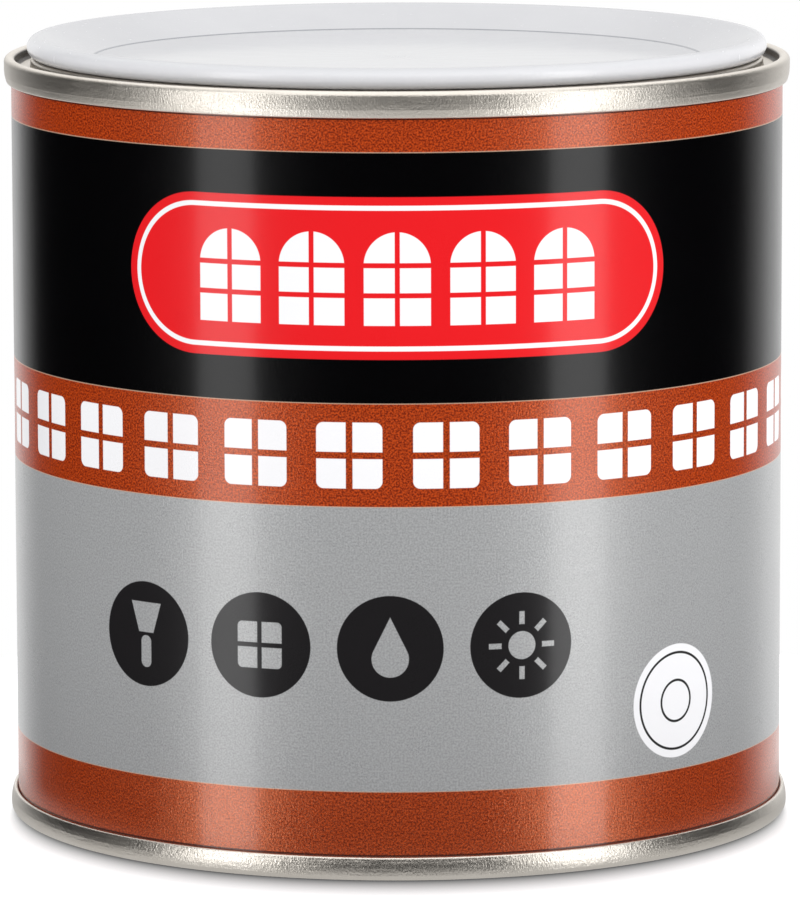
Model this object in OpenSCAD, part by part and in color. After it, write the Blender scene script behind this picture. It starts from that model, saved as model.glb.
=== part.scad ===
// Round tinplate can of putty with a plastic press-in lid.
// The can stands on z = 0 with its axis on Z. The welded side seam is at +Y, the back.
// Millimetres.

/* [Can] */
// Outer diameter of the can body
body_d = 99; // [90:0.5:125]
// Height of the can, from the floor to the top of the upper seam
can_h = 97.8; // [80:0.1:140]
// Thickness of the body plate
body_plate = 0.22; // [0.18:0.01:0.28]
// Width of the welded overlap at the back of the body
weld_w = 0.8; // [0.5:0.1:2]
// How far the weld stands proud of the plate, inside and outside
weld_rise = 0.04; // [0.02:0.01:0.05]

/* [Double seams] */
// Thickness of the plate of the ring and of the base
end_plate = 0.25; // [0.2:0.01:0.3]
// Space between the folded layers, taken up by sealing compound
seam_gap = 0.06; // [0.05:0.01:0.08]
// Height of the upper seam
top_seam_h = 3.3; // [3:0.1:4]
// Height of the lower seam
base_seam_h = 2.9; // [2.7:0.1:3.6]
// Bend radius at the crown of a seam, at mid-plate
crown_bend = 0.42; // [0.34:0.01:0.5]
// Space under the crown of a seam for the compound
crown_space = 0.3; // [0.24:0.01:0.36]
// Height of the body's hook, crown included
body_hook = 1.7; // [1.5:0.05:1.8]
// Free space between the tip of an end's hook and the body's crown
hook_play = 0.45; // [0.3:0.05:0.6]
// How far the closed end of the upper seam is pressed in
seam_taper = 0.3; // [0.2:0.01:0.31]
// Bend radius where the wall of the upper seam starts to run in, at mid-plate
wall_bend = 1.5; // [0.5:0.1:1.8]

/* [Ring] */
// Clear width of the groove between the seam and the land
groove_w = 1.97; // [1.6:0.01:2.6]
// Depth of the groove below the top of the seam
groove_depth = 1.45; // [1.2:0.05:1.9]
// Bend radius where the wall of the seam runs into the groove, at mid-plate
groove_bend = 0.65; // [0.4:0.05:0.8]
// Height of the seam above the land that carries the lid
land_drop = 0.2; // [0:0.05:0.3]
// Width of the land, from the groove to the mouth
land_w = 4.5; // [4:0.1:5.5]
// Bend radius at the two edges of the land, at mid-plate
land_bend = 0.32; // [0.25:0.01:0.45]
// Depth of the mouth's wall below the land
mouth_wall = 5.4; // [4:0.1:9]
// Height of the hem folded out at the foot of the mouth's wall
hem_h = 1.6; // [1:0.1:2.4]
// Distance between the two layers of the hem, mid-plate to mid-plate
hem_pitch = 0.45; // [0.36:0.01:0.6]

/* [Base] */
// Depth of the recess under the can, floor to plate
base_recess = 3.6; // [3.2:0.1:3.9]
// Bend radius of the base plate, at mid-plate
base_bend = 0.8; // [0.5:0.1:1.2]
// Width of the outer expansion ring of the base
base_ring_w = 5; // [3.5:0.5:7]
// Height of the steps pressed into the base
base_step = 0.7; // [0.4:0.05:1]
// Diameter of the middle panel of the base
base_panel_d = 56; // [40:1:66]

/* [Lid] */
// How far the lid reaches past the land
lid_overhang = 0.45; // [0:0.05:0.8]
// Height of the lid's crest above the top of the seam
lid_rise = 2.5; // [2.2:0.1:3.2]
// Width of the raised rim, from the lid's edge to the sunk panel
rim_w = 8.25; // [7:0.05:10]
// Depth of the sunk panel below the crest
panel_depth = 2.95; // [2.4:0.05:3.4]
// Wall of the lid
lid_wall = 1.1; // [0.8:0.05:1.3]
// Depth of the plug below the land
plug_depth = 6.2; // [4:0.1:8]
// Clearance between the plug's beads and the mouth
plug_gap = 0.3; // [0.25:0.01:0.4]
// How far the plug's beads stand out from its wall
plug_bead = 0.3; // [0.15:0.05:0.45]
// Clearance between the lid's rim and the land
seat_gap = 0.05; // [0.03:0.01:0.1]

/* [Putty] */
// Free height above the putty, up to the top of the can
headspace = 11.85; // [10:0.05:40]
// Clearance round the putty
putty_gap = 0.1; // [0.08:0.01:0.2]
// Height by which the putty creeps up the wall at its edge
putty_creep = 0.8; // [0.2:0.1:1.5]

/* [Hidden] */
$fn = 180;
arc_step = 9;

// Radii of the layers of a double seam, from the inside out
body_r = body_d / 2;
body_mid_r = body_r - body_plate / 2;
chuck_r = body_r - body_plate - seam_gap - end_plate;
chuck_mid_r = chuck_r + end_plate / 2;
end_hook_mid_r = body_r + seam_gap + end_plate / 2;
body_hook_mid_r = end_hook_mid_r + end_plate / 2 + seam_gap + body_plate / 2;
seam_mid_r = body_hook_mid_r + body_plate / 2 + seam_gap + end_plate / 2;
hook_bend = (body_hook_mid_r - body_mid_r) / 2;
fold_bend = (seam_mid_r - end_hook_mid_r) / 2;
taper_bend = (seam_mid_r - seam_taper - end_hook_mid_r) / 2;

// Heights that both seams share, measured from the crown's outer face
crown_drop = end_plate + crown_space;
body_hook_tip = crown_drop + body_hook;
end_hook_tip = crown_drop + body_plate + hook_play;

// Ring
ledge_z = can_h - groove_depth;
land_z = can_h - land_drop;
land_r = chuck_r - groove_w;
mouth_r = land_r - land_w;

// Base
base_z = base_recess + end_plate / 2;
ring_outer_r = chuck_mid_r;
ring_inner_r = ring_outer_r - base_ring_w;
panel_r = base_panel_d / 2;

// Lid
crest_z = can_h + lid_rise;
seat_z = land_z + seat_gap;
nose_r = (crest_z - seat_z) / 2;
lid_r = land_r + lid_overhang;
nose = [lid_r - nose_r, crest_z - nose_r];
crease = [lid_r - rim_w, crest_z - panel_depth];
flank_angle = atan2(nose.y - crease.y, nose.x - crease.x) + asin(nose_r / norm(nose - crease));
plug_r = mouth_r - plug_gap;
plug_z = land_z - plug_depth;
bead_h = 1;

// Putty
putty_floor = base_recess + end_plate + putty_gap;
putty_r = body_r - body_plate - putty_gap;
putty_top = can_h - headspace;

// Height of the lid's flank over a radius, on its top face and on its underside
function flank_z(r) = crease.y + (r - crease.x) * tan(flank_angle);
function flank_under(r) = flank_z(r) - lid_wall / cos(flank_angle);

// Unit vector from a to b, and the point of a corner
function heading(a, b) = (b - a) / norm(b - a);
function spot(corner) = [corner[0], corner[1]];

// Round arc that replaces a corner [r, z, radius] between the headings before and after it
function arc(corner, before, after) =
    let (
        sweep = sign(cross(before, after)) * acos(before * after),
        toe = spot(corner) - before * corner[2] * tan(abs(sweep) / 2),
        centre = toe + sign(sweep) * corner[2] * [-before.y, before.x],
        start = atan2(toe.y - centre.y, toe.x - centre.x),
        steps = ceil(abs(sweep) / arc_step)
    )
    [for (k = [0 : steps]) centre + corner[2] * [cos(start + sweep * k / steps), sin(start + sweep * k / steps)]];

// Closed outline from corners [r, z, radius]; a corner without a radius stays sharp
function outline(corners) =
    let (
        n = len(corners),
        points = [
            for (i = [0 : n - 1])
                let (
                    here = spot(corners[i]),
                    before = heading(spot(corners[(i + n - 1) % n]), here),
                    after = heading(here, spot(corners[(i + 1) % n]))
                )
                each corners[i][2] > 0 ? arc(corners[i], before, after) : [here]
        ],
        m = len(points)
    )
    [for (i = [0 : m - 1]) if (norm(points[i] - points[(i + m - 1) % m]) > 0.001) points[i]];

// One face of a folded sheet: its path of corners moved off to the left by a distance
function face(path, off) = [
    for (i = [0 : len(path) - 1])
        let (
            last = len(path) - 1,
            before = heading(spot(path[max(i - 1, 0)]), spot(path[max(i, 1)])),
            after = heading(spot(path[min(i, last - 1)]), spot(path[min(i + 1, last)])),
            mean = heading([0, 0], before + after),
            radius = i == 0 || i == last ? 0 : path[i][2] - sign(cross(before, after)) * off
        )
        concat(spot(path[i]) + off / (mean * before) * [-mean.y, mean.x], [radius])
];

// Section of a folded sheet, from its mid-plate path of corners [r, z, bend radius]
module sheet(path, thickness) {
    left = face(path, thickness / 2);
    right = face(path, -thickness / 2);
    polygon(outline(concat(left, [for (i = [len(right) - 1 : -1 : 0]) right[i]])));
}

// Body: one rolled sheet with a hook folded out at each end and a lapped, welded side seam
module can_body() {
    low = crown_drop + body_plate / 2;
    high = can_h - crown_drop - body_plate / 2;
    color("darkorange") {
        rotate_extrude() sheet([
            [body_hook_mid_r, body_hook_tip],
            [body_hook_mid_r, low, hook_bend],
            [body_mid_r, low, hook_bend],
            [body_mid_r, high, hook_bend],
            [body_hook_mid_r, high, hook_bend],
            [body_hook_mid_r, can_h - body_hook_tip]
        ], body_plate);
        weld();
    }
}

// Weld: a thin strip that stands proud of both faces of the plate, between the two seams
module weld() {
    half_angle = atan(weld_w / 2 / body_r);
    rotate(90 - half_angle) rotate_extrude(angle = 2 * half_angle)
        translate([body_r - body_plate - weld_rise, base_seam_h + seam_gap])
            square([body_plate + 2 * weld_rise, can_h - top_seam_h - base_seam_h - 2 * seam_gap]);
}

// Base: seamed on below, with a sunk outer ring and a stepped middle panel
module base_end() {
    low = end_plate / 2;
    fold = base_seam_h - end_plate / 2;
    color("silver") rotate_extrude() sheet([
        [end_hook_mid_r, end_hook_tip],
        [end_hook_mid_r, fold, fold_bend],
        [seam_mid_r, fold, fold_bend],
        [seam_mid_r, low, crown_bend],
        [chuck_mid_r, low, crown_bend],
        [ring_outer_r, base_z, base_bend],
        [ring_inner_r, base_z, base_bend],
        [ring_inner_r - 2 * base_step, base_z - base_step, base_bend],
        [panel_r, base_z - base_step, base_bend],
        [panel_r - 2 * base_step, base_z, base_bend],
        [0, base_z]
    ], end_plate);
}

// Ring: seamed on above, with the groove, the land that carries the lid and the hemmed mouth
module top_ring() {
    high = can_h - end_plate / 2;
    fold = can_h - top_seam_h + end_plate / 2;
    hem_z = land_z - mouth_wall + end_plate / 2;
    wall_r = mouth_r + end_plate / 2;
    color("silver") rotate_extrude() sheet([
        [end_hook_mid_r, can_h - end_hook_tip],
        [end_hook_mid_r, fold, taper_bend],
        [seam_mid_r - seam_taper, fold, taper_bend],
        [seam_mid_r, can_h - body_hook_tip, wall_bend],
        [seam_mid_r, high, crown_bend],
        [chuck_mid_r, high, crown_bend],
        [chuck_mid_r, ledge_z - end_plate / 2, groove_bend],
        [land_r - end_plate / 2, ledge_z - end_plate / 2, land_bend],
        [land_r - end_plate / 2, land_z - end_plate / 2, land_bend],
        [wall_r, land_z - end_plate / 2, land_bend],
        [wall_r, hem_z, hem_pitch / 2],
        [wall_r + hem_pitch, hem_z, hem_pitch / 2],
        [wall_r + hem_pitch, hem_z + hem_h]
    ], end_plate);
}

// Sealing compound: a flat ring with round edges, between a seam's crown and the body's hook
module compound() {
    low = end_plate + seam_gap / 2;
    high = end_plate + crown_space - seam_gap / 2;
    edge = (high - low) * 0.4;
    rotate_extrude() polygon(outline([
        [body_mid_r, low, edge],
        [body_hook_mid_r, low, edge],
        [body_hook_mid_r, high, edge],
        [body_mid_r, high, edge]
    ]));
}

module top_compound() {
    color("dimgray") translate([0, 0, can_h]) mirror([0, 0, 1]) compound();
}

module base_compound() {
    color("dimgray") compound();
}

// Lid: a sunk panel inside a raised rim with a round edge, and a plug with two sealing beads
module lid() {
    edge_r = lid_r - 2 * nose_r;
    wall_r = plug_r - plug_bead;
    inner_r = wall_r - lid_wall;
    under_r = min(crease.x + lid_wall * tan(flank_angle / 2), inner_r - lid_wall / 4);
    color("whitesmoke") rotate_extrude() polygon(outline([
        [0, crease.y, 0],
        [crease.x, crease.y, lid_wall / 4],
        [lid_r, flank_z(lid_r), nose_r],
        [lid_r, seat_z, nose_r],
        [edge_r, seat_z, 0],
        [edge_r, flank_under(edge_r), lid_wall / 4],
        [plug_r, max(seat_z, flank_under(plug_r)), 0],
        [plug_r, seat_z - bead_h, plug_bead],
        [wall_r, seat_z - bead_h - plug_bead, plug_bead],
        [wall_r, plug_z + bead_h + plug_bead, plug_bead],
        [plug_r, plug_z + bead_h, plug_bead],
        [plug_r, plug_z, lid_wall / 2],
        [inner_r, plug_z, lid_wall / 4],
        [inner_r, flank_under(inner_r), lid_wall / 4],
        [under_r, crease.y - lid_wall, 0],
        [0, crease.y - lid_wall, 0]
    ]));
}

// Putty: fills the can from wall to wall over the stepped base, and creeps up a little at its edge
module putty() {
    color("ivory") rotate_extrude() polygon(outline([
        [0, putty_floor, 0],
        [panel_r - 2 * base_step, putty_floor, 0],
        [panel_r, putty_floor - base_step, 0],
        [ring_inner_r - 2 * base_step, putty_floor - base_step, 0],
        [ring_inner_r, putty_floor, 0],
        [putty_r, putty_floor, 0],
        [putty_r, putty_top + putty_creep, 0],
        [putty_r - putty_creep, putty_top, putty_creep],
        [0, putty_top, 0]
    ]));
}

can_body();
base_end();
top_ring();
top_compound();
base_compound();
lid();
putty();
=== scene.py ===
"""Putty tin with a press-in lid: its pieces, their finishes and a small stage to show it on."""
from functools import reduce
from math import acos, asin, atan, atan2, ceil, copysign, cos, pi, radians, sin, tan
from operator import and_, or_
from types import SimpleNamespace

import bmesh
import bpy
from bpy.props import FloatProperty, FloatVectorProperty, IntProperty, PointerProperty
from mathutils import Matrix, Vector


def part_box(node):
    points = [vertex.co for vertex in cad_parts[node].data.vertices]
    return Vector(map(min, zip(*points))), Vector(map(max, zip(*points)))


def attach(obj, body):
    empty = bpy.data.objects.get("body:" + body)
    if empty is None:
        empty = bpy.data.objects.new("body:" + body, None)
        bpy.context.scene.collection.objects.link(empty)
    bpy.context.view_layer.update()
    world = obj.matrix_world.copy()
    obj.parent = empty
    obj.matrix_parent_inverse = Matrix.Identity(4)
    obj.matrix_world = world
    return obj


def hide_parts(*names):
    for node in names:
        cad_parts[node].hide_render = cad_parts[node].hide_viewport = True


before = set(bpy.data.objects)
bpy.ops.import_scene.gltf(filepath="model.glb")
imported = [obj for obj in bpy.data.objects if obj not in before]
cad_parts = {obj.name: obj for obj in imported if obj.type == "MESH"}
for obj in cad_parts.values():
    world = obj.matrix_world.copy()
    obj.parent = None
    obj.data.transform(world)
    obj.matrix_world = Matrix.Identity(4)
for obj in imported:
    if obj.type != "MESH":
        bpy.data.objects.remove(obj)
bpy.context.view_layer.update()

bl_info = {
    "name": "Putty Tin",
    "version": (1, 0, 0),
    "blender": (4, 5, 0),
    "location": "View3D > Sidebar > Putty Tin",
    "description": "Builds a round tinplate can of putty with a press-in lid, and a stage to show it on",
    "category": "Add Mesh",
}


# ---------------------------------------------------------------- settings

def length(millimetres, name, description):
    """A size in the panel, given here in millimetres and kept in metres."""
    return FloatProperty(
        name=name, description=description, default=millimetres / 1000, min=0, precision=5, unit="LENGTH")


def colour(rgb, name, description):
    """A colour in the panel, as linear red, green and blue."""
    return FloatVectorProperty(
        name=name, description=description, default=rgb, size=3, min=0, max=1, subtype="COLOR")


def share(value, name, description):
    """A plain number from 0 to 1 in the panel."""
    return FloatProperty(name=name, description=description, default=value, min=0, max=1, subtype="FACTOR")


class TinSizes(bpy.types.PropertyGroup):
    """Sizes of the can, its seams, its ring and its base."""

    body_d: length(99, "Body diameter", "Outside of the rolled body")
    can_h: length(1000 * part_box("top_ring")[1][2], "Height", "From the floor to the top of the upper seam")
    body_plate: length(0.22, "Body plate", "Thickness of the body plate")
    weld_w: length(0.8, "Weld width", "Width of the welded overlap at the back")
    weld_rise: length(0.04, "Weld rise", "How far the weld stands proud of the plate")
    end_plate: length(0.25, "End plate", "Thickness of the plate of the ring and of the base")
    seam_gap: length(0.06, "Seam gap", "Space between the folded layers of a seam")
    top_seam_h: length(3.3, "Upper seam height", "Height of the upper double seam")
    base_seam_h: length(2.9, "Lower seam height", "Height of the lower double seam")
    crown_bend: length(0.55, "Crown bend", "Bend radius at the crown of a seam")
    wall_bend: length(4, "Wall bend", "Bend radius where the wall of a seam starts to run in")
    wall_share: share(0.55, "Lower wall", "Share of the lower seam's height where its wall runs in")
    crown_space: length(0.3, "Crown space", "Space under a seam's crown for the compound")
    body_hook: length(1.7, "Body hook", "Height of the body's hook, crown included")
    hook_play: length(0.45, "Hook play", "Space between an end's hook and the body's crown")
    seam_taper: length(0.3, "Seam taper", "How far the closed end of a seam is pressed in")
    groove_w: length(1.97, "Groove width", "Clear width between the seam and the land")
    groove_depth: length(1.45, "Groove depth", "Depth of the groove below the top of the seam")
    groove_bend: length(0.65, "Groove bend", "Bend radius at the foot of the seam's wall")
    land_drop: length(0.2, "Land drop", "Height of the seam above the land that carries the lid")
    land_w: length(4.5, "Land width", "From the groove to the mouth")
    land_bend: length(0.32, "Land bend", "Bend radius at the edges of the land")
    mouth_wall: length(5.4, "Mouth wall", "Depth of the mouth's wall below the land")
    hem_h: length(1.6, "Hem height", "Height of the hem at the foot of the mouth's wall")
    hem_pitch: length(0.45, "Hem pitch", "Distance between the two layers of the hem")
    base_recess: length(3.6, "Base recess", "From the floor up to the base plate")
    base_bend: length(0.8, "Base bend", "Bend radius of the base plate")
    base_ring_w: length(5, "Base ring width", "Width of the outer expansion ring")
    base_step: length(0.7, "Base step", "Height of the steps pressed into the base")
    base_panel_d: length(56, "Base panel diameter", "Middle panel of the base")
    facets: IntProperty(name="Facets", description="Facets round the can", default=256, min=48, max=360)


class LidSizes(bpy.types.PropertyGroup):
    """Sizes of the press-in lid and of the putty under it."""

    lid_overhang: length(0.45, "Overhang", "How far the lid reaches past the land")
    crest_z: length(1000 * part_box("lid")[1][2], "Crest", "Height of the lid's crest above the floor")
    rim_w: length(8.25, "Rim width", "From the lid's edge to the sunk panel")
    panel_depth: length(2.95, "Panel depth", "Depth of the sunk panel below the crest")
    lid_wall: length(1.1, "Wall", "Wall of the lid")
    plug_depth: length(6.2, "Plug depth", "Depth of the plug below the land")
    plug_gap: length(0.3, "Plug gap", "Clearance between the plug's beads and the mouth")
    plug_bead: length(0.3, "Plug bead", "How far the plug's beads stand out from its wall")
    bead_h: length(1, "Bead height", "Height of a bead's flat")
    seat_gap: length(0.05, "Seat gap", "Clearance between the lid's rim and the land")
    putty_gap: length(0.1, "Putty clearance", "Clearance round the putty")
    putty_creep: length(0.8, "Putty creep", "Height by which the putty creeps up the wall")


class PrintDesign(bpy.types.PropertyGroup):
    """Places, sizes and inks of the litho print."""

    base_band_z: length(11.05, "Base band top", "Where the lowest band ends and the field starts")
    field_z: length(46.6, "Field top", "Where the field ends and the middle band starts")
    middle_band_z: length(59.4, "Middle band top", "Where the middle band ends and the dark band starts")
    dark_band_z: length(90.3, "Dark band top", "Where the dark band ends and the top band starts")
    plate_w: length(72, "Plate width", "Width of the plate with arched windows")
    plate_h: length(20, "Plate height", "Height of the plate")
    plate_z: length(74.85, "Plate centre", "Height of the plate's centre above the floor")
    sign_pitch: length(16.5, "Sign pitch", "Distance from one round sign to the next")
    sign_d: length(13.2, "Sign diameter", "Diameter of a round sign")
    sign_start: length(34, "First sign", "From the front round to the first sign, on the left")
    sign_z: length(29, "Sign height", "Height of the signs' centres above the floor")
    roundel_d: length(14.4, "Roundel diameter", "Diameter of the white roundel beside the signs")
    roundel_x: length(38.5, "Roundel place", "From the front round to the roundel's centre")
    roundel_z: length(19.8, "Roundel height", "Height of the roundel's centre above the floor")
    bare_w: length(9, "Bare strip", "Width of the strip left bare for the weld")
    band_ink: colour((0.35, 0.028, 0.0008), "Band ink", "Ink of the base, middle and top bands")
    dark_ink: colour((0.0006, 0.0005, 0.0008), "Dark ink", "Ink of the dark band")
    field_ink: colour((0.345, 0.35, 0.355), "Field ink", "Ink of the field")
    plate_ink: colour((0.72, 0.008, 0.012), "Plate ink", "Ink of the plate")
    white_ink: colour((0.83, 0.83, 0.85), "White ink", "Ink of the windows and of the roundel")
    sign_ink: colour((0.012, 0.011, 0.012), "Sign ink", "Ink of the round signs")
    line_ink: colour((0.02, 0.02, 0.02), "Line ink", "Ink of the lines on the roundel")
    hair_ink: colour((0.6, 0.42, 0.3), "Hair line ink", "Ink of the light line along each band's edge")
    # This colour paints shade: the dark line in the corner under and over a seam is painted shade.
    seam_shade_ink: colour((0.02, 0.006, 0.004), "Seam ink", "Dark stain in the corner under and over a seam")
    bare_share: share(0.12, "Bare share", "Share of tinplate that shows between the dots of a half-tone")


class StageSettings(bpy.types.PropertyGroup):
    """Floor, lamps and camera."""

    floor_r: length(120, "Floor radius", "Radius of the round pale table top")
    strip_w: length(270, "Strip width", "Width of the two tall soft lamps")
    strip_h: length(1300, "Strip height", "Height of the two tall soft lamps")
    lamp_distance: length(850, "Lamp distance", "From the can to the soft lamps")
    lens: FloatProperty(
        name="Lens", description="Focal length in millimetres", default=281.3, min=20, max=400)
    fill: share(0.72, "Fill", "Soft light from all round")


# ---------------------------------------------------------------- node trees

class Wire:
    """A socket in a tree. An operator on it adds a Math node."""

    def __init__(self, tree, socket):
        self.tree, self.socket = tree, socket

    def math(self, operation, *others, clamp=False):
        """A Math node on this value and any others."""
        return self.tree.math(operation, (self, *others), clamp)

    def __add__(self, other):
        return self.math("ADD", other)

    def __sub__(self, other):
        return self.math("SUBTRACT", other)

    def __rsub__(self, other):
        return self.tree.math("SUBTRACT", (other, self))

    def __mul__(self, other):
        return self.math("MULTIPLY", other)

    def __truediv__(self, other):
        return self.math("DIVIDE", other)

    def __pow__(self, other):
        return self.math("POWER", other)

    def __abs__(self):
        return self.math("ABSOLUTE")

    def __and__(self, other):
        return self.math("MINIMUM", other)

    def __or__(self, other):
        return self.math("MAXIMUM", other)

    __radd__, __rmul__ = __add__, __mul__


class Tree:
    """A node tree, with one method that adds nodes to it and short forms of it."""

    def __init__(self, tree):
        tree.nodes.clear()
        self.tree = tree

    def node(self, kind, settings=None, inputs=None, output=0):
        """A node's output: settings are set first, then the values or links of its sockets."""
        made = self.tree.nodes.new(kind)
        for name, value in (settings or {}).items():
            if name == "stops":
                for stop, (place, tone) in zip(made.color_ramp.elements, value):
                    stop.position, stop.color = place, (tone, tone, tone, 1)
            else:
                setattr(made, name, value)
        for name, value in (inputs or {}).items():
            if isinstance(value, Wire):
                self.tree.links.new(value.socket, made.inputs[name])
            else:
                made.inputs[name].default_value = value
        return Wire(self, made.outputs[output])

    def math(self, operation, values, clamp=False):
        """A Math node on some values."""
        settings = {"operation": operation, "use_clamp": clamp}
        return self.node("ShaderNodeMath", settings, dict(enumerate(values)))

    def mix(self, factor, low, high):
        """A colour between two colours."""
        low, high = [value if isinstance(value, Wire) else (*value, 1) for value in (low, high)]
        return self.node(
            "ShaderNodeMix", {"data_type": "RGBA"}, {0: factor, 6: low, 7: high}, 2)

    def noise(self, where, scale, detail=2.0, roughness=0.5):
        """Even noise from 0 to 1."""
        inputs = {"Vector": where, "Scale": scale, "Detail": detail, "Roughness": roughness}
        return self.node("ShaderNodeTexNoise", None, inputs)

    def ramp(self, value, low, high):
        """0 below low, 1 above high, and a straight line between."""
        inputs = {"Value": value, "From Min": low, "From Max": high}
        return self.node("ShaderNodeMapRange", {"clamp": True}, inputs)

    def join(self, x, y, z):
        """A vector from three values."""
        return self.node("ShaderNodeCombineXYZ", None, {0: x, 1: y, 2: z})

    def axes(self, vector):
        """The three values of a vector."""
        return [self.node("ShaderNodeSeparateXYZ", None, {0: vector}, axis) for axis in range(3)]

    def bump(self, height, distance, strength=1.0):
        """A normal that follows a height, which runs from 0 to 1, over a depth in metres."""
        return self.node(
            "ShaderNodeBump", None, {"Height": height, "Distance": distance, "Strength": strength})


def finish(name):
    """A new material and its empty tree."""
    material = bpy.data.materials.new(name)
    material.use_nodes = True
    return material, Tree(material.node_tree)


def surface(tree, shader, kind="ShaderNodeOutputMaterial"):
    """The tree's output shows this shader."""
    out = tree.tree.nodes.new(kind)
    tree.tree.links.new(shader.socket, out.inputs["Surface"])


def emission(tree, strength):
    """White light of a strength."""
    return tree.node("ShaderNodeEmission", None, {"Color": (1, 1, 1, 1), "Strength": strength})


def arrival(tree, kind):
    """1 where the light path that arrives is of this kind."""
    return tree.node("ShaderNodeLightPath", output=f"Is {kind} Ray")


def principled(tree, **inputs):
    """A Principled shader; an underscore in a name stands for a space."""
    return tree.node(
        "ShaderNodeBsdfPrincipled", None, {name.replace("_", " "): value for name, value in inputs.items()})


def round_axis(tree):
    """Place on a can: the point, its radius, its angle from the front and its height, in millimetres."""
    point = tree.node("ShaderNodeTexCoord", output="Object")
    x, y, z = (value * 1000 for value in tree.axes(point))
    radius = (x * x + y * y) ** 0.5
    angle = x.math("ARCTAN2", y * -1)
    return SimpleNamespace(point=point, radius=radius, angle=angle, z=z)


# ---------------------------------------------------------------- finishes

def tin_grain(tree, place, polish=0.0, rolls=1.0):
    """Roughness and normal of bright tinplate: pits, wrinkles, stains and marks of the seaming rolls."""
    around = place.angle * 50
    pits = tree.noise(place.point, 5200, 3, 0.6)
    wrinkles = tree.noise(tree.join(around * 4.5, place.z * 2.8, place.radius * 2), 1, 2, 0.6)
    dents = tree.noise(tree.join(around * 0.35, place.z * 0.5, place.radius * 0.6), 1, 2, 0.5)
    stains = tree.noise(place.point, 160, 3, 0.5)
    rolled_at = tree.join(around * 0.3, place.z * 7, place.radius * 7)
    rolled = rolls * tree.ramp(tree.noise(rolled_at, 1, 2, 0.6), 0.55, 0.7)
    rough = 0.29 - polish + 0.08 * pits + 0.1 * stains + 0.06 * rolled
    relief = 0.15 * pits + 1.1 * wrinkles + 1.2 * dents - 0.12 * rolled
    return rough, tree.bump(relief, 0.00004)


def bare_tinplate(name, sizes, polish=0.0):
    """Bright tinplate with a slight warm tint, and painted dark brown shade on the seam's inner wall down in
    the groove.
    """
    material, tree = finish(name)
    place = round_axis(tree)
    rough, normal = tin_grain(tree, place, polish)
    tint = tree.mix(tree.noise(place.point, 90, 2), (0.68, 0.63, 0.56), (0.8, 0.755, 0.69))
    drop = sizes.can_h * 1000 - place.z
    chuck_r = seam_shape(sizes).chuck_mid_r * 1000
    # Painted shade: the seam's inner wall down in the groove is darkened to dark brown.
    at_chuck_wall = tree.ramp(abs(place.radius - chuck_r), 0.8, 0.5)
    groove_shade = tree.ramp(drop, 0.2, 0.4) * tree.ramp(drop, 4, 3) * at_chuck_wall
    tint = tree.mix(groove_shade, tint, (0.045, 0.035, 0.025))
    surface(tree, principled(tree, Base_Color=tint, Metallic=1.0, Roughness=rough, Normal=normal))
    return material


class Ink:
    """Shapes on the can's wall: each is a distance in millimetres that is negative inside."""

    def __init__(self, tree, across, up):
        self.tree, self.across, self.up = tree, across, up

    def at(self, across, up):
        """The same shapes, about another centre."""
        return Ink(self.tree, self.across - across, self.up - up)

    def box(self, half_width, half_height, corner):
        wide = abs(self.across) - (half_width - corner)
        high = abs(self.up) - (half_height - corner)
        outside = ((wide | 0) ** 2 + (high | 0) ** 2) ** 0.5
        return outside + ((wide | high) & 0) - corner

    def disc(self, radius):
        return (self.across ** 2 + self.up ** 2) ** 0.5 - radius

    def cover(self, distance, soft=0.09):
        """1 inside a shape and 0 outside, with an edge this soft."""
        return distance.math("MULTIPLY_ADD", -1 / soft, 0.5, clamp=True)


def knife_sign(ink):
    """A putty knife: a blade that widens, on a handle."""
    side = abs(ink.across)
    blade = (side - 1.1 - 0.32 * ink.up) | (abs(ink.up - 2.1) - 1.9)
    handle = ink.at(0, -2.2).box(0.8, 2.0, 0.75)
    return blade & handle


def window_sign(ink, half=2.9, corner=0.6, bar=0.3):
    """A window of four panes."""
    bars = (abs(ink.across) & abs(ink.up)) - bar
    return ink.box(half, half, corner) | (-1 * bars)


def drop_sign(ink):
    """A drop of water: a disc, and a tip whose sides touch it."""
    radius, centre, tip = 2.3, -1.3, 3.9
    lean = asin(radius / (tip - centre))
    side = abs(ink.across) * cos(lean) + (ink.up - tip) * sin(lean)
    cone = side | (centre + radius * sin(lean) - ink.up)
    return cone & ink.at(0, centre).disc(radius)


def sun_sign(ink):
    """A sun with eight rays."""
    turn = ink.up.math("ARCTAN2", ink.across)
    reach = (ink.across ** 2 + ink.up ** 2) ** 0.5
    ray = reach * turn.math("PINGPONG", pi / 8) - 0.34
    rays = ray | (abs(reach - 3.45) - 0.8)
    return rays & ink.disc(1.75)


def nearest(value, marks):
    """Distance from a value to the nearest of some marks."""
    return reduce(and_, (abs(value - mark) for mark in marks))


def arched_windows(ink, count=5, pitch=10.6, arch_r=4.1, foot=7.4, bar=0.32, low_bar=3.7):
    """A row of arched windows with glazing bars. Their arches spring from the centre's height."""
    side = ink.across.math("PINGPONG", pitch / 2)
    arch = ((side ** 2 + (ink.up | 0) ** 2) ** 0.5 - arch_r) | (-1 * ink.up - foot)
    bars = (side & nearest(ink.up, (0, -low_bar))) - bar
    return ink.cover(arch | (-1 * bars)) * ink.cover(abs(ink.across) - pitch * count / 2)


def window_frieze(ink, girth, count=26):
    """A row of small windows right round the can."""
    step = girth / count
    side = (abs(ink.across) + step / 2).math("PINGPONG", step / 2)
    return ink.cover(window_sign(Ink(ink.tree, side, ink.up), 4.1, 0.9, 0.42))


def round_signs(ink, print_):
    """Four discs in a row, each with a sign left open in it."""
    covers = []
    for k, sign in enumerate((knife_sign, window_sign, drop_sign, sun_sign)):
        across = print_.sign_pitch * k - print_.sign_start
        spot = ink.at(across * 1000, print_.sign_z * 1000)
        covers.append(ink.cover(spot.disc(print_.sign_d * 500)) * (1 - ink.cover(sign(spot))))
    return reduce(or_, covers)


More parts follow.
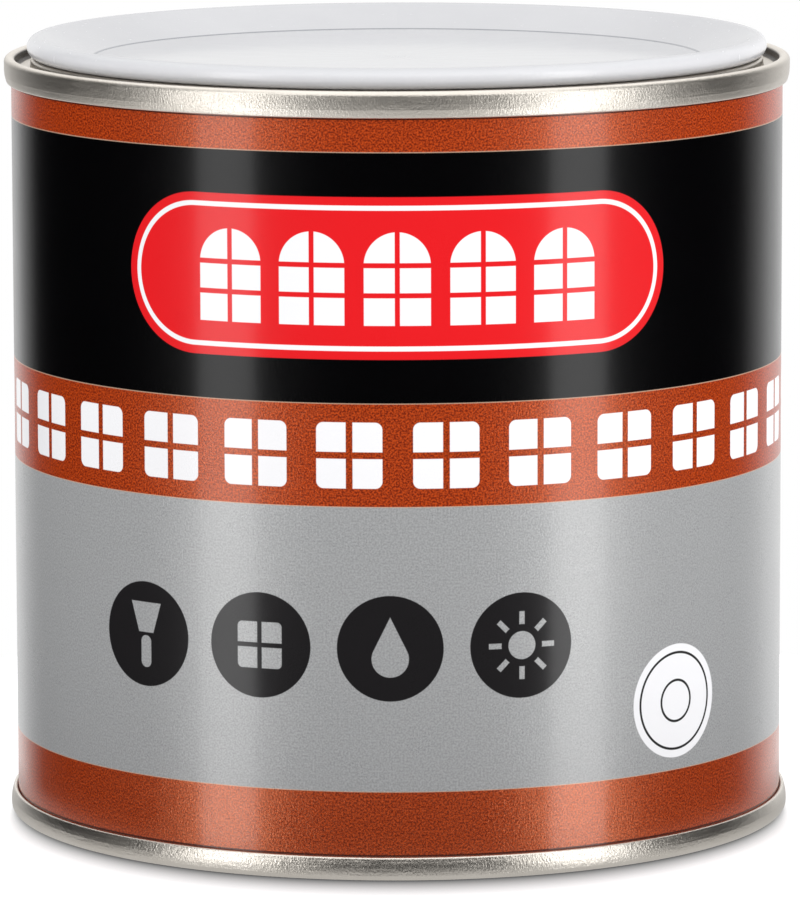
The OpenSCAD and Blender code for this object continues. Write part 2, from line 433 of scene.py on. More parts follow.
def roundel(ink, print_, rings=(6.1, 2.6), half_line=0.16):
    """A white disc, and the thin rings that are drawn on it."""
    spot = ink.at(print_.roundel_x * 1000, print_.roundel_z * 1000)
    lines = reduce(or_, [ink.cover(abs(spot.disc(ring)) - half_line) for ring in rings])
    return ink.cover(spot.disc(print_.roundel_d * 500)), lines


def printed_wall(tree, sizes):
    """Place on the can's wall, with even noise in it and shapes to print on it."""
    place = round_axis(tree)
    body_r = sizes.body_d * 500
    around, up = place.angle * body_r, place.z
    flat = tree.join(around, up, 0)
    return SimpleNamespace(
        place=place, body_r=body_r, around=around, up=up, flat=flat, ink=Ink(tree, around, up),
        speck=tree.noise(flat, 4.2, 1, 0.4), cloud=tree.noise(flat, 0.13, 2, 0.5))


def half_tones(tree, wall, print_):
    """The grainy ink of the bands, and the ink of the field with the fine dots of its half-tone."""
    dot_turns = 17
    one_way, other_way = (
        (slant * dot_turns).math("SINE") for slant in (wall.around + wall.up, wall.around - wall.up))
    dots = 0.5 + 0.5 * one_way * other_way
    grain = tree.ramp(wall.speck, 0.36, 0.66)
    dark_band = [tone * part for tone, part in zip(print_.band_ink, (0.5, 0.35, 0.3))]
    light_band = [tone * part for tone, part in zip(print_.band_ink, (1.5, 2, 2))]
    dark_field, light_field = ([tone * part for tone in print_.field_ink] for part in (0.74, 1.22))
    return (
        tree.mix(grain, dark_band, light_band),
        tree.mix(0.6 * grain + 0.4 * dots, dark_field, light_field))


def wall_tin(tree, wall, sizes, print_, through_ink):
    """Where the wall is bare of print, inside and along the weld, and the wall's tinplate."""
    ink, weld_edge = wall.ink, sizes.weld_w * 500
    weld_side = pi * wall.body_r - abs(wall.around)
    strip = ink.cover(weld_side - print_.bare_w * 500 + 0.25 * wall.cloud)
    inside = ink.cover(wall.place.radius - (wall.body_r - sizes.body_plate * 500), 0.02)
    weld = ink.cover(weld_side - weld_edge - 0.05 + 0.25 * wall.speck, 0.3)
    heat = ink.cover(weld_side - weld_edge - 0.5, 1.2)
    tin = tree.mix(strip, through_ink, (0.7, 0.67, 0.61))
    tin = tree.mix(inside, tin, (0.62, 0.55, 0.4))
    tin = tree.mix(heat * 0.5, tin, (0.33, 0.27, 0.22))
    tin = tree.mix(weld, tin, (0.2, 0.18, 0.17))
    rough, grain = tin_grain(tree, wall.place, polish=0.09, rolls=0.0)
    return strip | inside, principled(tree, Base_Color=tin, Metallic=1.0, Roughness=rough, Normal=grain)


def printed_tinplate(sizes, print_):
    """Litho print in gloss inks, in part half-tone, on tinplate that is bare inside and at the weld."""
    material, tree = finish("printed_tinplate")
    wall = printed_wall(tree, sizes)
    ink, up, cloud = wall.ink, wall.up, wall.cloud

    # Bands from the base up
    band, field = half_tones(tree, wall, print_)
    edges = [edge * 1000 for edge in (
        print_.base_band_z, print_.field_z, print_.middle_band_z, print_.dark_band_z)]
    on_field, on_middle, on_dark, on_top = (ink.cover(edge - up) for edge in edges)
    tone = tree.mix(on_field, band, field)
    tone = tree.mix(on_middle, tone, band)
    tone = tree.mix(on_dark, tone, tuple(print_.dark_ink))
    tone = tree.mix(on_top, tone, band)
    dark = on_dark * (1 - on_top)

    # A light hair line along each edge of a band, and a painted shade line in the corner along each seam
    half_hair, half_top_line, half_base_line = 0.055, 0.12, 0.14
    top_line, base_line = (sizes.can_h - sizes.top_seam_h) * 1000 - 0.1, sizes.base_seam_h * 1000 + 0.1
    hair = ink.cover(nearest(up, edges) - half_hair)
    # Painted shade: a dark line just under the upper seam and just over the lower seam.
    seams = ink.cover((abs(up - top_line) - half_top_line) & (abs(up - base_line) - half_base_line))
    tone = tree.mix(seams * 0.85, tone, tuple(print_.seam_shade_ink))
    tone = tree.mix(hair * 0.7, tone, tuple(print_.hair_ink))

    # A plate with an inset line and arched windows, with the frieze, the signs and the roundel below it
    plate_up, plate_r = print_.plate_z * 1000, print_.plate_h * 500
    plate_edge = ink.at(0, plate_up).box(print_.plate_w * 500, plate_r, plate_r)
    on_plate = ink.cover(plate_edge)
    inset = ink.cover(abs(plate_edge + 1.35) - 0.3)
    arches = arched_windows(ink.at(0, plate_up + 1.6))
    frieze = window_frieze(ink.at(0, (print_.field_z + print_.middle_band_z) * 500), 2 * pi * wall.body_r)
    signs = round_signs(ink, print_)
    on_roundel, lines = roundel(ink, print_)
    white = (on_plate * (inset | arches)) | frieze | on_roundel
    tone = tree.mix(on_plate, tone, tuple(print_.plate_ink))
    tone = tree.mix(signs, tone, tuple(print_.sign_ink))
    tone = tree.mix(white, tone, tuple(print_.white_ink))
    tone = tree.mix(lines, tone, tuple(print_.line_ink))

    # Tin shows between the dots of a half-tone, and hardly through solid ink
    solid = dark | white | on_plate | signs
    between = print_.bare_share * (0.75 + 0.5 * wall.speck) * (1 - 0.96 * (solid | seams)) * (2 - on_field)
    on_bands = (1 - on_field) | (on_middle * (1 - on_dark)) | on_top
    through_ink = tree.mix(on_bands, (0.68, 0.68, 0.67), (0.85, 0.33, 0.17))
    bare, tin = wall_tin(tree, wall, sizes, print_, through_ink)

    peel = tree.bump(0.7 * cloud + 0.12 * wall.speck + 0.3 * tree.noise(wall.flat, 0.9, 2), 0.00003, 0.6)
    varnish = principled(
        tree, Base_Color=tone, Roughness=0.2 + 0.06 * cloud + 0.06 * (1 - solid), Specular_IOR_Level=0.12,
        Coat_Weight=0.25 + 0.15 * (1 - dark) + 0.4 * (1 - on_field), Coat_Roughness=0.14, Normal=peel)
    surface(tree, tree.node("ShaderNodeMixShader", None, {0: between | bare, 1: varnish, 2: tin}))
    return material


def lid_plastic(sizes, lid):
    """Gloss white polyethylene: a bright panel inside a crease with a painted shade line along it, a satin
    rim, flow marks and scuffs.
    """
    material, tree = finish("lid_plastic")
    place = round_axis(tree)
    grain = tree.noise(place.point, 2600, 2, 0.5)
    flow = tree.noise(tree.join(place.angle * 5, place.radius * 0.12, place.z * 0.2), 1.4, 3, 0.55)
    scuffs_at = tree.join(abs(place.angle) * 9, place.radius * 0.5, 0)
    scuffs = tree.ramp(tree.noise(scuffs_at, 3, 4, 0.7), 0.62, 0.72)
    crease_r = lid_shape(sizes, lid).crease_r * 1000
    panel = tree.ramp(place.radius, crease_r + 0.4, crease_r - 0.2)
    tint = tree.mix(flow, (0.7, 0.703, 0.73), (0.75, 0.752, 0.775))
    # Painted shade: a dark line along the crease round the panel.
    crease_shade = tree.ramp(abs(place.radius - crease_r), 0.28, 0.1)
    tint = tree.mix(crease_shade * 0.8, tint, (0.2, 0.22, 0.25))
    rough = 0.2 - 0.13 * panel + 0.06 * grain + 0.1 * scuffs * (1 - panel)
    relief = 0.35 * grain * (1 - 0.8 * panel) + 0.5 * flow
    surface(tree, principled(
        tree, Base_Color=tint, Roughness=rough, Specular_IOR_Level=0.5, Normal=tree.bump(relief, 0.00003)))
    return material


def putty_paste():
    """Oily white paste, struck off by a turning blade."""
    material, tree = finish("putty_paste")
    place = round_axis(tree)
    lumps = tree.noise(place.point, 70, 3, 0.5)
    swirl = place.radius * 0.9 + place.angle * 1.5 + 5 * lumps
    rings = 0.5 + 0.5 * swirl.math("SINE")
    pits = tree.ramp(tree.noise(place.point, 900, 2), 0.66, 0.74)
    oil = tree.noise(place.point, 45, 2)
    tint = tree.mix(oil, (0.86, 0.82, 0.72), (0.92, 0.89, 0.81))
    # Painted shade: the pits are darkened as shade in small hollows.
    tint = tree.mix(pits * 0.4, tint, (0.55, 0.5, 0.42))
    relief = 0.5 * lumps + 0.3 * rings - 0.3 * pits
    surface(tree, principled(
        tree, Base_Color=tint, Roughness=0.3 + 0.25 * oil, Normal=tree.bump(relief, 0.0004)))
    return material


def seam_compound():
    """Matt dark sealing compound, slightly pitted."""
    material, tree = finish("seam_compound_rubber")
    place = round_axis(tree)
    pits = tree.noise(place.point, 3500, 3, 0.6)
    tint = tree.mix(pits, (0.05, 0.05, 0.052), (0.1, 0.1, 0.1))
    surface(tree, principled(
        tree, Base_Color=tint, Roughness=0.6 + 0.25 * pits, Normal=tree.bump(pits, 0.00005)))
    return material


# ---------------------------------------------------------------- sections

def heading(start, end):
    """Unit vector from start to end."""
    return (end - start).normalized()


def cross(a, b):
    """Height of the cross product of two flat vectors."""
    return a.x * b.y - a.y * b.x


def rounded(corner, radius, before, after, step=radians(9)):
    """Points of the arc that replaces a corner between the headings before and after it."""
    sweep = copysign(acos(max(-1, min(1, before.dot(after)))), cross(before, after))
    side = copysign(1, sweep)
    toe = corner - before * radius * tan(abs(sweep) / 2)
    centre = toe + side * radius * Vector((-before.y, before.x))
    start = atan2(toe.y - centre.y, toe.x - centre.x)
    steps = ceil(abs(sweep) / step)
    turns = (start + sweep * k / steps for k in range(steps + 1))
    return [centre + radius * Vector((cos(turn), sin(turn))) for turn in turns]


def outline(corners):
    """Closed outline from corners (r, z, radius), with points close to the ends of each straight run."""
    spots = [Vector(corner[:2]) for corner in corners]
    points = []
    for i, (spot, corner) in enumerate(zip(spots, corners)):
        before, after = heading(spots[i - 1], spot), heading(spot, spots[(i + 1) % len(spots)])
        points += rounded(spot, corner[2], before, after) if corner[2] > 0 else [spot]
    points = [point for i, point in enumerate(points) if (point - points[i - 1]).length > 1e-6]
    run_end, long_run = 0.00004, 0.0003
    held = []
    for i, point in enumerate(points):
        held.append(point)
        ahead = points[(i + 1) % len(points)]
        if (ahead - point).length > long_run and max(ahead.x, point.x) > run_end:
            inward = heading(point, ahead) * run_end
            held += [point + inward, ahead - inward]
    return held


def face(path, off):
    """One face of a folded sheet: its path of corners (r, z, bend) moved off to the left."""
    spots = [Vector(corner[:2]) for corner in path]
    last = len(path) - 1
    corners = []
    for i, spot in enumerate(spots):
        before = heading(spots[max(i - 1, 0)], spots[max(i, 1)])
        after = heading(spots[min(i, last - 1)], spots[min(i + 1, last)])
        mean = (before + after).normalized()
        radius = 0 if i in (0, last) else path[i][2] - copysign(off, off * cross(before, after))
        corner = spot + off / mean.dot(before) * Vector((-mean.y, mean.x))
        corners.append((corner.x, corner.y, radius))
    return corners


def folded(path, thickness):
    """Outline of a folded sheet, from its mid-plate path of corners (r, z, bend)."""
    return outline(face(path, thickness / 2) + face(path, -thickness / 2)[::-1])


def seam_shape(s):
    """Radii of the layers of a double seam, from the inside out, and heights from its crown."""
    body_r = s.body_d / 2
    d = SimpleNamespace(body_r=body_r, body_mid_r=body_r - s.body_plate / 2)
    d.chuck_mid_r = body_r - s.body_plate - s.seam_gap - s.end_plate / 2
    d.end_hook_mid_r = body_r + s.seam_gap + s.end_plate / 2
    d.body_hook_mid_r = d.end_hook_mid_r + s.end_plate / 2 + s.seam_gap + s.body_plate / 2
    d.seam_mid_r = d.body_hook_mid_r + s.body_plate / 2 + s.seam_gap + s.end_plate / 2
    d.crown_drop = s.end_plate + s.crown_space
    d.body_hook_tip = d.crown_drop + s.body_hook
    d.end_hook_tip = d.crown_drop + s.body_plate + s.hook_play
    d.land_r = d.chuck_mid_r - s.end_plate / 2 - s.groove_w
    d.mouth_r = d.land_r - s.land_w
    d.land_z = s.can_h - s.land_drop
    return d


def body_section(s):
    """The rolled body, with a hook folded out at each end."""
    d = seam_shape(s)
    low = d.crown_drop + s.body_plate / 2
    high = s.can_h - low
    bend = (d.body_hook_mid_r - d.body_mid_r) / 2
    return folded([
        (d.body_hook_mid_r, d.body_hook_tip, 0),
        (d.body_hook_mid_r, low, bend),
        (d.body_mid_r, low, bend),
        (d.body_mid_r, high, bend),
        (d.body_hook_mid_r, high, bend),
        (d.body_hook_mid_r, s.can_h - d.body_hook_tip, 0)], s.body_plate)


def ring_section(s):
    """The ring: seam, groove, land, mouth and hem."""
    d = seam_shape(s)
    half = s.end_plate / 2
    high, fold = s.can_h - half, s.can_h - s.top_seam_h + half
    taper_bend = (d.seam_mid_r - s.seam_taper - d.end_hook_mid_r) / 2
    ledge_z = s.can_h - s.groove_depth - half
    hem_z = d.land_z - s.mouth_wall + half
    wall_r = d.mouth_r + half
    return folded([
        (d.end_hook_mid_r, s.can_h - d.end_hook_tip, 0),
        (d.end_hook_mid_r, fold, taper_bend),
        (d.seam_mid_r - s.seam_taper, fold, taper_bend),
        (d.seam_mid_r, s.can_h - d.body_hook_tip, s.wall_bend),
        (d.seam_mid_r, high, s.crown_bend),
        (d.chuck_mid_r, high, s.crown_bend),
        (d.chuck_mid_r, ledge_z, s.groove_bend),
        (d.land_r - half, ledge_z, s.land_bend),
        (d.land_r - half, d.land_z - half, s.land_bend),
        (wall_r, d.land_z - half, s.land_bend),
        (wall_r, hem_z, s.hem_pitch / 2),
        (wall_r + s.hem_pitch, hem_z, s.hem_pitch / 2),
        (wall_r + s.hem_pitch, hem_z + s.hem_h, 0)], s.end_plate)


def base_section(s):
    """The base: seam, outer ring and stepped panel, up to the axis."""
    d = seam_shape(s)
    low, fold = s.end_plate / 2, s.base_seam_h - s.end_plate / 2
    taper_bend = (d.seam_mid_r - s.seam_taper - d.end_hook_mid_r) / 2
    base_z = s.base_recess + s.end_plate / 2
    ring_inner_r = d.chuck_mid_r - s.base_ring_w
    panel_r = s.base_panel_d / 2
    return folded([
        (d.end_hook_mid_r, d.end_hook_tip, 0),
        (d.end_hook_mid_r, fold, taper_bend),
        (d.seam_mid_r - s.seam_taper, fold, taper_bend),
        (d.seam_mid_r, s.base_seam_h * s.wall_share, s.wall_bend),
        (d.seam_mid_r, low, s.crown_bend),
        (d.chuck_mid_r, low, s.crown_bend),
        (d.chuck_mid_r, base_z, s.base_bend),
        (ring_inner_r, base_z, s.base_bend),
        (ring_inner_r - 2 * s.base_step, base_z - s.base_step, s.base_bend),
        (panel_r, base_z - s.base_step, s.base_bend),
        (panel_r - 2 * s.base_step, base_z, s.base_bend),
        (0, base_z, 0)], s.end_plate)


def lid_shape(s, lid):
    """The radii and heights that the lid's section follows."""
    d = seam_shape(s)
    seat_z = d.land_z + lid.seat_gap
    nose_r = (lid.crest_z - seat_z) / 2
    lid_r = d.land_r + lid.lid_overhang
    crease_r, crease_z = lid_r - lid.rim_w, lid.crest_z - lid.panel_depth
    reach = Vector((lid_r - nose_r - crease_r, lid.crest_z - nose_r - crease_z))
    slope = tan(atan2(reach.y, reach.x) + asin(nose_r / reach.length))
    return SimpleNamespace(
        seat_z=seat_z, nose_r=nose_r, lid_r=lid_r, crease_r=crease_r, crease_z=crease_z, slope=slope,
        plug_r=d.mouth_r - lid.plug_gap, plug_z=d.land_z - lid.plug_depth)


def lid_section(s, lid):
    """The lid: sunk panel, raised rim with a round edge, and plug with two beads."""
    d = lid_shape(s, lid)
    edge_r = d.lid_r - 2 * d.nose_r
    wall_r = d.plug_r - lid.plug_bead
    inner_r = wall_r - lid.lid_wall
    angle = atan(d.slope)
    under_r = min(d.crease_r + lid.lid_wall * tan(angle / 2), inner_r - lid.lid_wall / 4)
    fillet, bead = lid.lid_wall / 4, lid.plug_bead

    def flank(radius):
        return d.crease_z + (radius - d.crease_r) * d.slope

    def under(radius):
        return flank(radius) - lid.lid_wall / cos(angle)

    return outline([
        (0, d.crease_z, 0),
        (d.crease_r, d.crease_z, fillet),
        (d.lid_r, flank(d.lid_r), d.nose_r),
        (d.lid_r, d.seat_z, d.nose_r),
        (edge_r, d.seat_z, 0),
        (edge_r, under(edge_r), fillet),
        (d.plug_r, max(d.seat_z, under(d.plug_r)), 0),
        (d.plug_r, d.seat_z - lid.bead_h, bead),
        (wall_r, d.seat_z - lid.bead_h - bead, bead),
        (wall_r, d.plug_z + lid.bead_h + bead, bead),
        (d.plug_r, d.plug_z + lid.bead_h, bead),
        (d.plug_r, d.plug_z, lid.lid_wall / 2),
        (inner_r, d.plug_z, fillet),
        (inner_r, under(inner_r), fillet),
        (under_r, d.crease_z - lid.lid_wall, 0),
        (0, d.crease_z - lid.lid_wall, 0)])


def putty_section(s, lid):
    """The putty, from the stepped base up to its level top."""
    floor = s.base_recess + s.end_plate + lid.putty_gap
    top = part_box("putty")[1][2] - lid.putty_creep
    wall_r = s.body_d / 2 - s.body_plate - lid.putty_gap
    ring_inner_r = seam_shape(s).chuck_mid_r - s.base_ring_w
    panel_r, step = s.base_panel_d / 2, s.base_step
    return outline([
        (0, floor, 0),
        (panel_r - 2 * step, floor, 0),
        (panel_r, floor - step, 0),
        (ring_inner_r - 2 * step, floor - step, 0),
        (ring_inner_r, floor, 0),
        (wall_r, floor, 0),
        (wall_r, top + lid.putty_creep, 0),
        (wall_r - lid.putty_creep, top, lid.putty_creep),
        (0, top, 0)])


# ---------------------------------------------------------------- making pieces

def lathe_tree():
    """Geometry nodes that turn a section, a row of points in X and Z, round the Z axis."""
    group = bpy.data.node_groups.new("Lathe", "GeometryNodeTree")
    sockets = {"Section": "Geometry", "Facets": "Int", "Sharp Angle": "Float", "Material": "Material"}
    for name, kind in sockets.items():
        group.interface.new_socket(name, in_out="INPUT", socket_type="NodeSocket" + kind)
    group.interface.new_socket("Turned Piece", in_out="OUTPUT", socket_type="NodeSocketGeometry")
    tree = Tree(group)
    given = group.nodes.new("NodeGroupInput")
    section, facets, sharp_angle, material = (Wire(tree, given.outputs[name]) for name in sockets)

    count = tree.node("GeometryNodeAttributeDomainSize", None, {0: section}, "Point Count")
    grid = tree.node("GeometryNodeMeshGrid", None, {"Vertices X": facets + 1, "Vertices Y": count})
    index = tree.node("GeometryNodeInputIndex")
    turn = ((index + 0.5) / count).math("FLOOR")
    spot = tree.node("GeometryNodeInputPosition")
    corner = tree.node(
        "GeometryNodeSampleIndex", {"data_type": "FLOAT_VECTOR"},
        {"Geometry": section, "Value": spot, "Index": index - turn * count})
    angle = (turn - facets * ((turn + 0.5) / facets).math("FLOOR")) * (2 * pi) / facets
    place = tree.node(
        "ShaderNodeVectorRotate", {"rotation_type": "Z_AXIS"}, {"Vector": corner, "Angle": angle})
    mesh = tree.node("GeometryNodeSetPosition", None, {"Geometry": grid, "Position": place})
    mesh = tree.node("GeometryNodeMergeByDistance", None, {"Geometry": mesh, "Distance": 1e-6})
    mesh = tree.node("GeometryNodeSetShadeSmooth", {"domain": "FACE"}, {0: mesh, "Shade Smooth": True})
    bend = tree.node("GeometryNodeInputMeshEdgeAngle")
    sharp = tree.node("FunctionNodeCompare", {"operation": "GREATER_THAN"}, {0: bend, 1: sharp_angle})
    mesh = tree.node(
        "GeometryNodeSetShadeSmooth", {"domain": "EDGE"},
        {0: mesh, "Selection": sharp, "Shade Smooth": False})
    mesh = tree.node("GeometryNodeRealizeInstances", None, {0: mesh})
    mesh = tree.node("GeometryNodeSetMaterial", None, {"Geometry": mesh, "Material": material})
    tree.tree.links.new(mesh.socket, group.nodes.new("NodeGroupOutput").inputs[0])
    return group


def turned(name, section, facets, material):
    """A piece turned from a section round the Z axis, as a plain mesh."""
    tree = bpy.data.node_groups.get("Lathe") or lathe_tree()
    on_axis = section[0].x < 1e-6 and section[-1].x < 1e-6
    row = section if on_axis else section + section[:1]
    mesh = bpy.data.meshes.new(name + "_section")
    mesh.from_pydata([(point.x, 0, point.y) for point in row], [], [])
    blank = bpy.data.objects.new(name + "_blank", mesh)
    bpy.context.collection.objects.link(blank)
    turn = blank.modifiers.new("Turn", "NODES")
    turn.node_group = tree
    values = {"Facets": facets, "Sharp Angle": radians(28), "Material": material}
    for item in tree.interface.items_tree:
        if item.name in values:
            turn[item.identifier] = values[item.name]
    seen = blank.evaluated_get(bpy.context.evaluated_depsgraph_get())
    made = bpy.data.meshes.new_from_object(seen)
    made.name = name
    bpy.data.objects.remove(blank)
    bpy.data.meshes.remove(mesh)
    piece = bpy.data.objects.new(name, made)
    bpy.context.collection.objects.link(piece)
    if not made.polygons:
        raise RuntimeError(name + " came out empty")
    return piece


def stand_in(piece, body, node):
    """The piece moves with a body and shows in place of a node."""
    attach(piece, body)
    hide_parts(node)


def add_weld(piece, s):
    """The weld down the back of the body: a low rounded bar, outside and inside."""
    half_angle = atan(s.weld_w / s.body_d)
    low, high = s.base_seam_h + s.seam_gap, s.can_h - s.top_seam_h - s.seam_gap
    steps = 6
    loop = []
    for side in (1, -1):
        for k in range(steps + 1):
            part = (2 * k / steps - 1) * side
            rise = s.weld_rise * (1 - part ** 4) - s.body_plate / 4 * (part ** 4)
            radius = s.body_d / 2 + rise if side > 0 else s.body_d / 2 - s.body_plate - rise
            turn = pi / 2 + half_angle * part
            loop.append((radius * cos(turn), radius * sin(turn)))
    work = bmesh.new()
    work.from_mesh(piece.data)
    rows = [[work.verts.new((x, y, z)) for x, y in loop] for z in (low, high)]
    total = len(loop)
    faces = [
        work.faces.new((rows[0][k], rows[0][(k + 1) % total], rows[1][(k + 1) % total], rows[1][k]))
        for k in range(total)]
    faces += [work.faces.new(rows[0][::-1]), work.faces.new(rows[1])]
    bmesh.ops.recalc_face_normals(work, faces=faces)
    work.to_mesh(piece.data)
    work.free()


class TIN_OT_body(bpy.types.Operator):
    """Make the printed body with its welded side seam"""

    bl_idname = "tin.body"
    bl_label = "Printed Body"

    def execute(self, context):
        scene = context.scene
        material = printed_tinplate(scene.tin_sizes, scene.tin_print)
        piece = turned("printed_body", body_section(scene.tin_sizes), scene.tin_sizes.facets, material)
        add_weld(piece, scene.tin_sizes)
        stand_in(piece, "can", "can_body")
        return {"FINISHED"}


class TIN_OT_ends(bpy.types.Operator):
    """Make the ring and the base, which are seamed onto the body"""

    bl_idname = "tin.ends"
    bl_label = "Ring and Base"

    def execute(self, context):
        sizes = context.scene.tin_sizes
        material = bare_tinplate("ring_tinplate", sizes)
        ring = turned("seamed_ring", ring_section(sizes), sizes.facets, material)
        stand_in(ring, "can", "top_ring")
        material = bare_tinplate("base_tinplate", sizes, 0.06)
        base = turned("seamed_base", base_section(sizes), sizes.facets, material)
        stand_in(base, "can", "base_end")
        return {"FINISHED"}


class TIN_OT_compound(bpy.types.Operator):
    """Give the rings of sealing compound inside the seams their finish"""

    bl_idname = "tin.compound"
    bl_label = "Seam Compound"

    def execute(self, context):
        material = seam_compound()
        for node in ("top_compound", "base_compound"):
            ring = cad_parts[node]
            ring.data.materials.clear()
            ring.data.materials.append(material)
        return {"FINISHED"}


class TIN_OT_lid(bpy.types.Operator):
    """Make the press-in lid"""

    bl_idname = "tin.lid"
    bl_label = "Press-in Lid"

    def execute(self, context):
        sizes, lid = context.scene.tin_sizes, context.scene.tin_lid
        material = lid_plastic(sizes, lid)
        piece = turned("press_in_lid", lid_section(sizes, lid), sizes.facets, material)
        stand_in(piece, "lid", "lid")
        return {"FINISHED"}


class TIN_OT_putty(bpy.types.Operator):
    """Make the putty that fills the can"""

    bl_idname = "tin.putty"
    bl_label = "Putty"

    def execute(self, context):
        sizes, lid = context.scene.tin_sizes, context.scene.tin_lid
        piece = turned("putty_fill", putty_section(sizes, lid), sizes.facets, putty_paste())
        stand_in(piece, "can", "putty")
        return {"FINISHED"}


# ---------------------------------------------------------------- stage

AIM = (0, 0, 0.05)
# Degrees from the front, and watts
STRIP_LAMPS = {"soft_lamp_left": (-50.5, 3.8), "soft_lamp_right": (53.5, 4.2)}
SIDE_LAMP_PLACE, SIDE_LAMP_W, SIDE_LAMP_POWER = (0.8, -0.05, 0.02), 0.6, 1.4
CAMERA_PLACE, CAMERA_DIP, CAMERA_ROLL = (0.00027, -0.9074, 0.1833), radians(8.6169), radians(-0.157)


def pale_floor(can_r):
    """Pale table top. Its painted contact shadow is widest in front and behind. Mirrors see it near the can
    only.
    """
    material, tree = finish("pale_floor")
    place = round_axis(tree)
    seen = arrival(tree, "Camera") | arrival(tree, "Transmission")
    beyond = place.radius - can_r * 1000
    reach = 0.8 + 13.5 * abs(place.angle.math("COSINE")) ** 1.3
    # Painted contact shadow: the floor's colour and glow darken towards the can, farthest in front and
    # behind.
    clear = 1 - (1 - tree.ramp(beyond, 0, reach)) ** 1.6
    paper_with_painted_shadow = tree.mix(clear, (0.05, 0.05, 0.05), (0.8, 0.8, 0.81))
    paper_with_painted_shadow = tree.node("ShaderNodeBsdfDiffuse", None, {"Color": paper_with_painted_shadow})
    glow_with_painted_shadow = emission(tree, seen * (0.03 + 0.6 * clear))
    lit = tree.node("ShaderNodeAddShader", None, {0: paper_with_painted_shadow, 1: glow_with_painted_shadow})
    open_air = tree.node("ShaderNodeBsdfTransparent")
    beside = tree.ramp(beyond, 16, 6)
    mirrored = tree.node("ShaderNodeMixShader", None, {0: beside, 1: open_air, 2: emission(tree, 0.62)})
    surface(tree, tree.node("ShaderNodeMixShader", None, {0: arrival(tree, "Glossy"), 1: lit, 2: mirrored}))
    return material


def studio_world(fill):
    """White to the eye. Mirrors see a white wall behind, a soft ceiling, a table and a dark room."""
    world = bpy.data.worlds.new("studio")
    world.use_nodes = True
    world.cycles.sampling_method = "NONE"
    tree = Tree(world.node_tree)
    direction = tree.node("ShaderNodeTexCoord", output="Generated")
    x, y, z = tree.axes(direction)
    turn = x.math("ARCTAN2", y * -1)
    rise = z.math("ARCSINE")
    wall = tree.ramp(turn, radians(124), radians(146)) | tree.ramp(turn, radians(-136), radians(-156))
    ceiling = tree.ramp(rise, radians(24), radians(38)) * tree.ramp(abs(x), 0.8, 0.45)
    table = tree.ramp(rise, radians(-14), radians(-34))
    room = 0.006 + (wall | (ceiling * 1.5) | (table * 0.7))
    sides = tree.ramp(abs(turn), radians(50), radians(90)) * tree.ramp(abs(rise), radians(35), radians(10))
    front = tree.ramp(abs(turn), radians(75), radians(20)) * tree.ramp(abs(rise), radians(60), radians(20))
    soft = fill * (0.88 + 0.2 * sides + 0.25 * front + 0.2 * tree.ramp(rise, radians(25), radians(70)))
    seen = arrival(tree, "Camera") | arrival(tree, "Transmission")
    glossy = arrival(tree, "Glossy")
    strength = seen + (1 - seen) * (glossy * room + (1 - glossy) * soft)
    shine = tree.node("ShaderNodeBackground", None, {"Color": (1, 1, 1, 1), "Strength": strength})
    surface(tree, shine, "ShaderNodeOutputWorld")
    return world


def soft_lamp(name, place, width, height, power):
    """A square-edged soft lamp that faces the can."""
    data = bpy.data.lights.new(name, "AREA")
    data.shape, data.size, data.size_y, data.energy = "RECTANGLE", width, height, power
    lamp = bpy.data.objects.new(name, data)
    lamp.location = place
    lamp.rotation_euler = (Vector(AIM) - Vector(place)).to_track_quat("-Z", "Y").to_euler()
    lamp.visible_camera = False
    bpy.context.collection.objects.link(lamp)
    return lamp


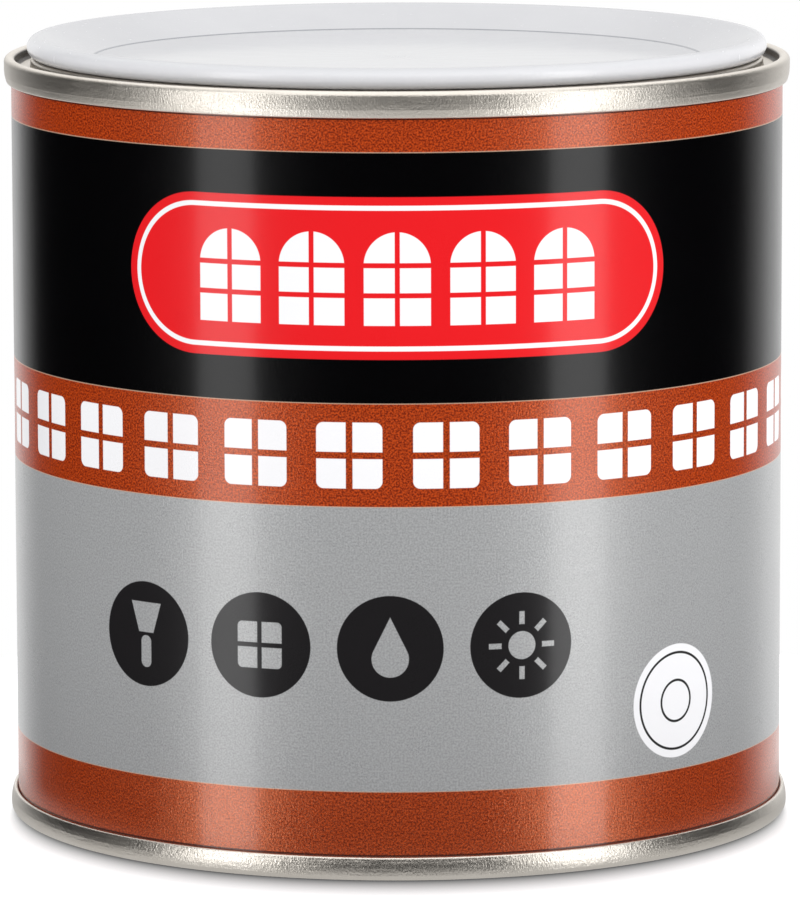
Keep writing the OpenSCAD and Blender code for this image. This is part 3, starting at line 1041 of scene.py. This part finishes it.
class TIN_OT_stage(bpy.types.Operator):
    """Set up the table top, the lamps, the room and the camera"""

    bl_idname = "tin.stage"
    bl_label = "Stage"

    def execute(self, context):
        scene, stage = context.scene, context.scene.tin_stage
        work = bmesh.new()
        bmesh.ops.create_circle(work, cap_ends=True, segments=128, radius=stage.floor_r)
        mesh = bpy.data.meshes.new("table_top")
        work.to_mesh(mesh)
        work.free()
        floor = bpy.data.objects.new("table_top", mesh)
        mesh.materials.append(pale_floor(scene.tin_sizes.body_d / 2))
        context.collection.objects.link(floor)

        for name, (side, power) in STRIP_LAMPS.items():
            turn = radians(side)
            place = (stage.lamp_distance * sin(turn), -stage.lamp_distance * cos(turn), AIM[2])
            soft_lamp(name, place, stage.strip_w, stage.strip_h, power)
        wash = soft_lamp("soft_lamp_side", SIDE_LAMP_PLACE, SIDE_LAMP_W, SIDE_LAMP_W, SIDE_LAMP_POWER)
        wash.visible_glossy = False

        scene.world = studio_world(stage.fill)
        scene.view_settings.view_transform = "Standard"
        camera = bpy.data.cameras.new("camera")
        camera.lens, camera.sensor_width, camera.clip_start = stage.lens, 36, 0.01
        eye = bpy.data.objects.new("camera", camera)
        eye.matrix_world = (
            Matrix.Translation(CAMERA_PLACE)
            @ Matrix.Rotation(pi / 2 - CAMERA_DIP, 4, "X")
            @ Matrix.Rotation(CAMERA_ROLL, 4, "Z"))
        context.collection.objects.link(eye)
        scene.camera = eye
        return {"FINISHED"}


class TIN_PT_panel(bpy.types.Panel):
    """Sizes, inks and steps of the putty tin"""

    bl_idname = "TIN_PT_panel"
    bl_label = "Putty Tin"
    bl_space_type = "VIEW_3D"
    bl_region_type = "UI"
    bl_category = "Putty Tin"

    def draw(self, context):
        for operator in OPERATORS:
            self.layout.operator(operator.bl_idname)
        for name in GROUPS:
            box = self.layout.box()
            group = getattr(context.scene, name)
            for setting in group.bl_rna.properties:
                if setting.identifier not in ("rna_type", "name"):
                    box.prop(group, setting.identifier)


GROUPS = {"tin_sizes": TinSizes, "tin_lid": LidSizes, "tin_print": PrintDesign, "tin_stage": StageSettings}
OPERATORS = (TIN_OT_body, TIN_OT_ends, TIN_OT_compound, TIN_OT_lid, TIN_OT_putty, TIN_OT_stage)


def register():
    for name, group in GROUPS.items():
        bpy.utils.register_class(group)
        setattr(bpy.types.Scene, name, PointerProperty(type=group))
    for operator in OPERATORS:
        bpy.utils.register_class(operator)
    bpy.utils.register_class(TIN_PT_panel)


def unregister():
    bpy.utils.unregister_class(TIN_PT_panel)
    for operator in reversed(OPERATORS):
        bpy.utils.unregister_class(operator)
    for name, group in GROUPS.items():
        delattr(bpy.types.Scene, name)
        bpy.utils.unregister_class(group)


def main():
    register()
    bpy.ops.tin.body()
    bpy.ops.tin.ends()
    bpy.ops.tin.compound()
    bpy.ops.tin.lid()
    bpy.ops.tin.putty()
    bpy.ops.tin.stage()


if __name__ == "__main__":
    main()
